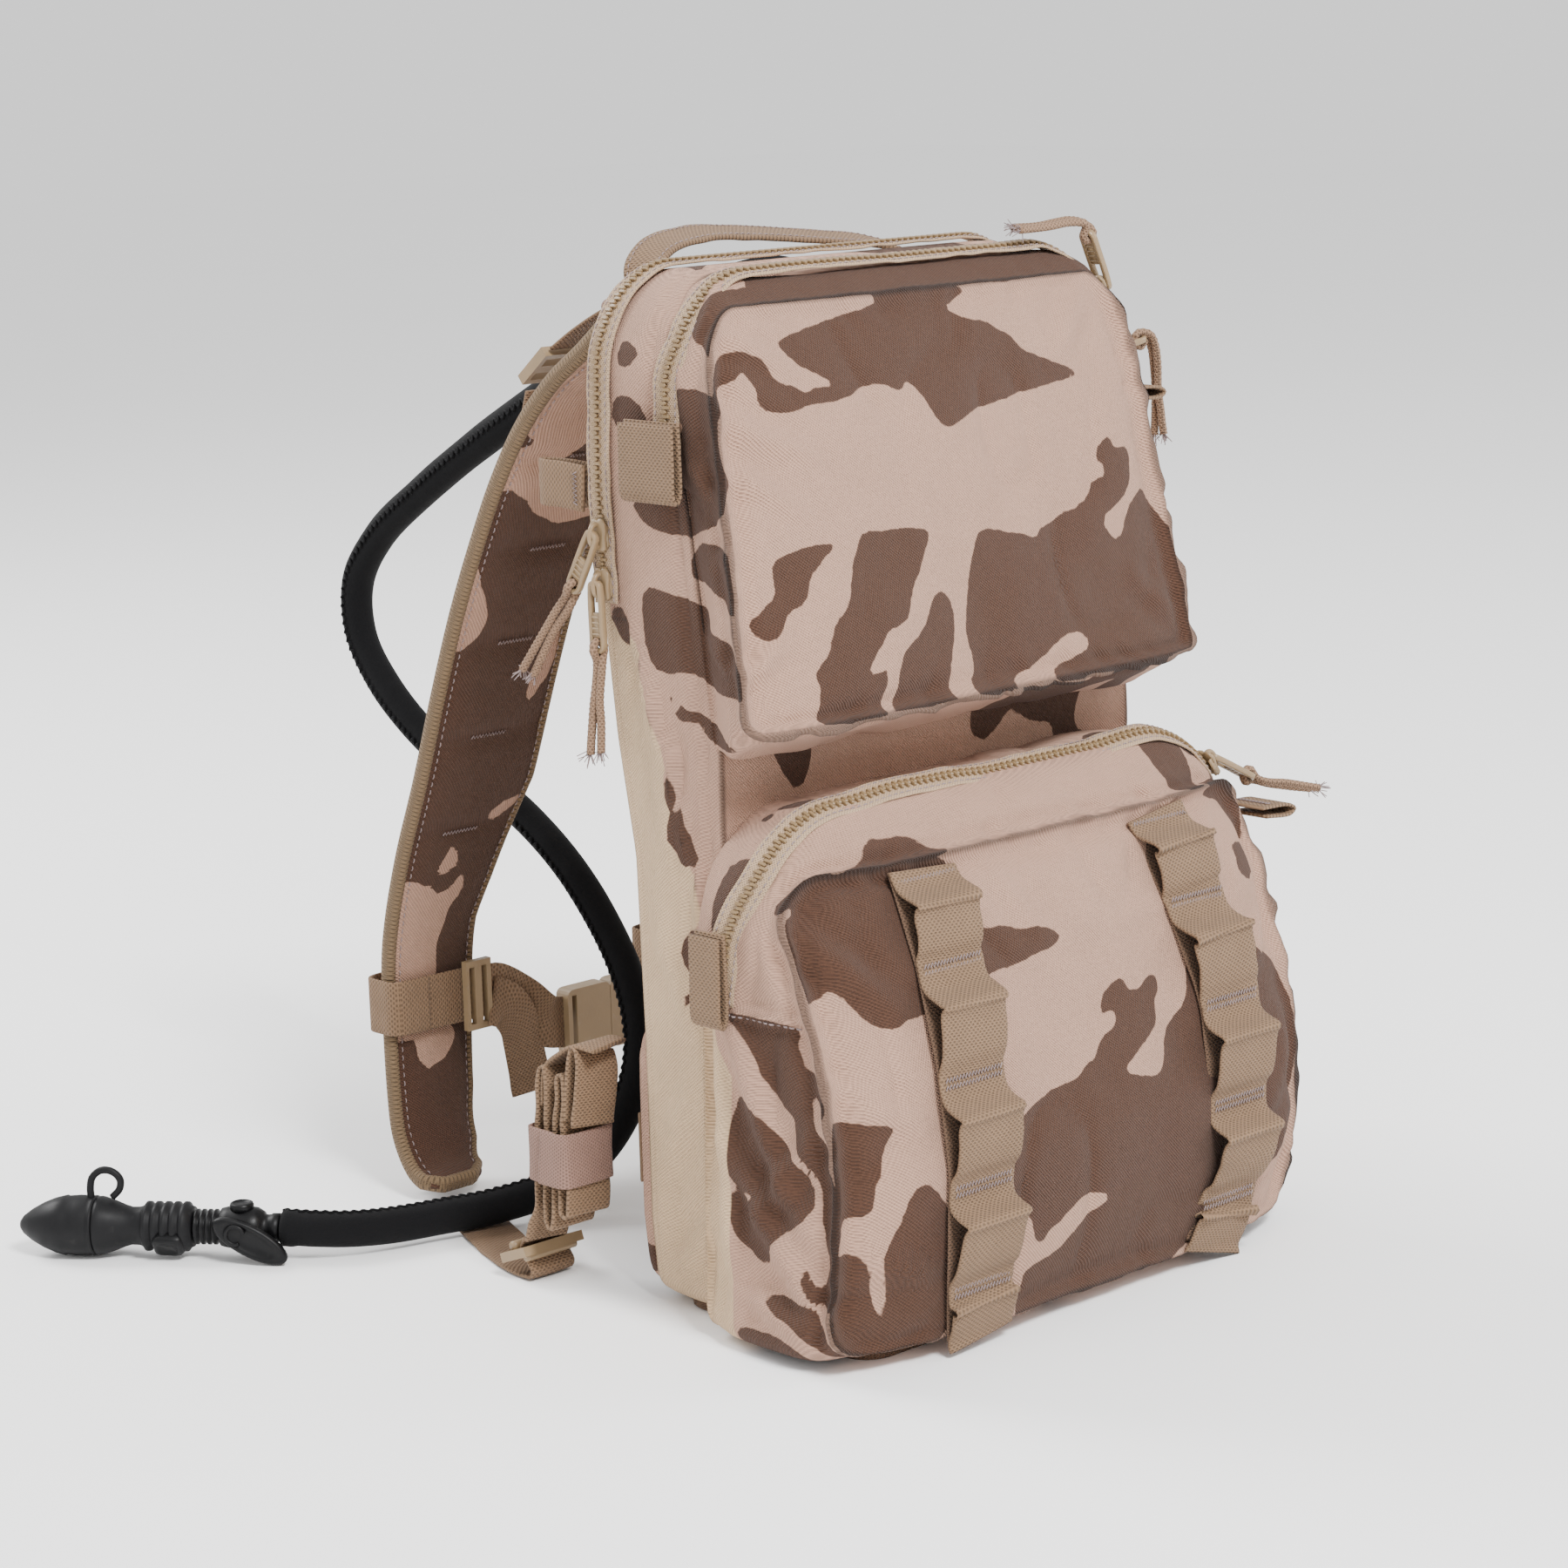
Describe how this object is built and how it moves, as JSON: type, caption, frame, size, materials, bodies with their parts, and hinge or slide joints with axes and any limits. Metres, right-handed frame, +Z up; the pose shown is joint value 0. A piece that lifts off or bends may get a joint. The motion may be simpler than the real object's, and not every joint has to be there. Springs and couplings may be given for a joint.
{
  "type": "hydration pack",
  "caption": "Small camouflage hydration rucksack with zipped pockets, webbing strips, padded harness, sternum buckle and an insulated drink tube with a capped bite valve.",
  "frame": {"origin": "centre of the flat base panel's underside, on the floor the pack stands on", "axes": "+Z up, -Y towards the pockets, +Y towards the wearer's back and shoulder straps, +X to the right as seen from the pocket side"},
  "size_m": [0.4838, 0.5075, 0.4575],
  "materials": {
    "camouflage": "matt woven polyester, two-colour desert blotches",
    "tan_fabric": "matt twill",
    "webbing": "matt ribbed webbing",
    "zip": "woven tape with coil teeth",
    "slider_metal": "satin coating",
    "pull_cord": "braided cord and moulded tab",
    "hardware": "moulded acetal",
    "padding": "camouflage cloth over foam",
    "reservoir_film": "clear blue film",
    "fill_cap": "moulded",
    "tube_cover": "matt neoprene sleeve",
    "valve_rubber": "satin moulded rubber"
  },
  "bodies": {
    "pack": {"main_shell": "camouflage", "back_panel": "tan_fabric", "base_panel": "webbing", "reservoir_sleeve": "tan_fabric", "reservoir_bladder": "reservoir_film", "upper_pocket": "camouflage", "lower_pocket": "camouflage", "main_zip_tape": "zip", "upper_zip_tape": "zip", "lower_zip_tape": "zip", "upper_zip_tab_left": "webbing", "lower_zip_tab_left": "webbing", "upper_zip_tab_right": "webbing", "lower_zip_tab_right": "webbing", "rear_loop_left": "webbing", "rear_loop_right": "webbing", "pocket_webbing_left": "webbing", "pocket_webbing_right": "webbing", "grab_handle": "webbing", "shoulder_pad_left": "padding", "shoulder_pad_right": "padding", "strap_webbing_left": "webbing", "strap_webbing_right": "webbing", "load_lifter_left": "webbing", "load_lifter_right": "webbing", "ladder_lock_left": "hardware", "ladder_lock_right": "hardware", "adjuster_hank_left": "webbing", "adjuster_hank_right": "webbing", "adjuster_tri_glide_left": "hardware", "adjuster_tri_glide_right": "hardware", "adjuster_webbing_left": "webbing", "adjuster_webbing_right": "webbing", "lumbar_pad": "padding", "lumbar_band": "webbing", "drink_tube": "tube_cover", "shutoff_body": "valve_rubber", "bite_valve": "valve_rubber"},
    "fill_cap": {"reservoir_fill_cap": "fill_cap"},
    "main_upper_slider": {"main_zip_slider_upper": "slider_metal"},
    "main_upper_pull": {"main_zip_pull_upper": "pull_cord"},
    "main_lower_slider": {"main_zip_slider_lower": "slider_metal"},
    "main_lower_pull": {"main_zip_pull_lower": "pull_cord"},
    "pocket_top_slider": {"upper_zip_slider_top": "slider_metal"},
    "pocket_top_pull": {"upper_zip_pull_top": "pull_cord"},
    "pocket_side_slider": {"upper_zip_slider_side": "slider_metal"},
    "pocket_side_pull": {"upper_zip_pull_side": "pull_cord"},
    "lower_top_slider": {"lower_zip_slider_top": "slider_metal"},
    "lower_top_pull": {"lower_zip_pull_top": "pull_cord"},
    "lower_side_slider": {"lower_zip_slider_side": "slider_metal"},
    "lower_side_pull": {"lower_zip_pull_side": "pull_cord"},
    "sternum_strap": {"sternum_webbing_left": "webbing", "sternum_webbing_right": "webbing", "sternum_keeper_right": "webbing", "sternum_tri_glide_left": "hardware", "sternum_tri_glide_right": "hardware", "buckle_female": "hardware"},
    "buckle_plug": {"buckle_male": "hardware"},
    "valve_lever": {"shutoff_lever": "valve_rubber"},
    "valve_cap": {"bite_valve_cap": "valve_rubber"}
  },
  "joints": [
    {"name": "fill_cap_turn", "type": "hinge", "parent": "pack", "child": "fill_cap", "pos_m": [0, 0.067, 0.345], "axis": [0, 1, 0], "range_deg": [0, 270]},
    {"name": "main_upper_slide", "type": "slide", "parent": "pack", "child": "main_upper_slider", "axis": [0, 0.0544, 0.9985], "range_m": [0, 0.055]},
    {"name": "main_upper_pull_swing", "type": "hinge", "parent": "main_upper_slider", "child": "main_upper_pull", "pos_m": [-0.1348, 0.09475, 0.337], "axis": [0, 0.866, 0.5], "range_deg": [0, 150]},
    {"name": "main_lower_slide", "type": "slide", "parent": "pack", "child": "main_lower_slider", "axis": [0, 0.0544, 0.9985], "range_m": [-0.005, 0.003]},
    {"name": "main_lower_pull_swing", "type": "hinge", "parent": "main_lower_slider", "child": "main_lower_pull", "pos_m": [-0.1348, 0.0936, 0.316], "axis": [0, 0.9995, -0.03], "range_deg": [0, 150]},
    {"name": "pocket_top_slide", "type": "slide", "parent": "pack", "child": "pocket_top_slider", "axis": [-0.4384, 0, 0.8988], "range_m": [0, 0.012]},
    {"name": "pocket_top_pull_swing", "type": "hinge", "parent": "pocket_top_slider", "child": "pocket_top_pull", "pos_m": [0.12986, 0.042, 0.42539], "axis": [0, 1, 0], "range_deg": [0, 100]},
    {"name": "pocket_side_slide", "type": "slide", "parent": "pack", "child": "pocket_side_slider", "axis": [-0.0695, 0, 0.9976], "range_m": [-0.004, 0.01]},
    {"name": "pocket_side_pull_swing", "type": "hinge", "parent": "pocket_side_slider", "child": "pocket_side_pull", "pos_m": [0.13555, 0.051, 0.39335], "axis": [-0.0957, -0.9952, -0.0191], "range_deg": [0, 60]},
    {"name": "lower_top_slide", "type": "hinge", "parent": "pack", "child": "lower_top_slider", "pos_m": [0.097, -0.008, 0.179], "axis": [0, -1, 0], "range_deg": [0, 30]},
    {"name": "lower_top_pull_swing", "type": "hinge", "parent": "lower_top_slider", "child": "lower_top_pull", "pos_m": [0.14492, -0.008, 0.21132], "axis": [-0.0446, -0.9987, 0.0233], "range_deg": [0, 40]},
    {"name": "lower_side_slide", "type": "slide", "parent": "pack", "child": "lower_side_slider", "axis": [0, -0.0995, 0.995], "range_m": [-0.008, 0.01]},
    {"name": "lower_side_pull_swing", "type": "hinge", "parent": "lower_side_slider", "child": "lower_side_pull", "pos_m": [0.1551, 0.006, 0.17], "axis": [0, -1, 0], "range_deg": [0, 140]},
    {"name": "sternum_slide", "type": "slide", "parent": "pack", "child": "sternum_strap", "axis": [0, 0, 1], "range_m": [-0.022, 0.006]},
    {"name": "buckle_pull", "type": "slide", "parent": "sternum_strap", "child": "buckle_plug", "axis": [1, 0, 0], "range_m": [0, 0.015], "deforming": ["sternum_webbing_right"]},
    {"name": "lever_turn", "type": "hinge", "parent": "pack", "child": "valve_lever", "pos_m": [-0.2135, 0.26775, 0.0153], "axis": [-0.7723, -0.6353, 0], "range_deg": [0, 90]},
    {"name": "cap_slide", "type": "slide", "parent": "pack", "child": "valve_cap", "axis": [-0.6353, 0.7723, 0], "range_m": [0, 0.035]}
  ]
}
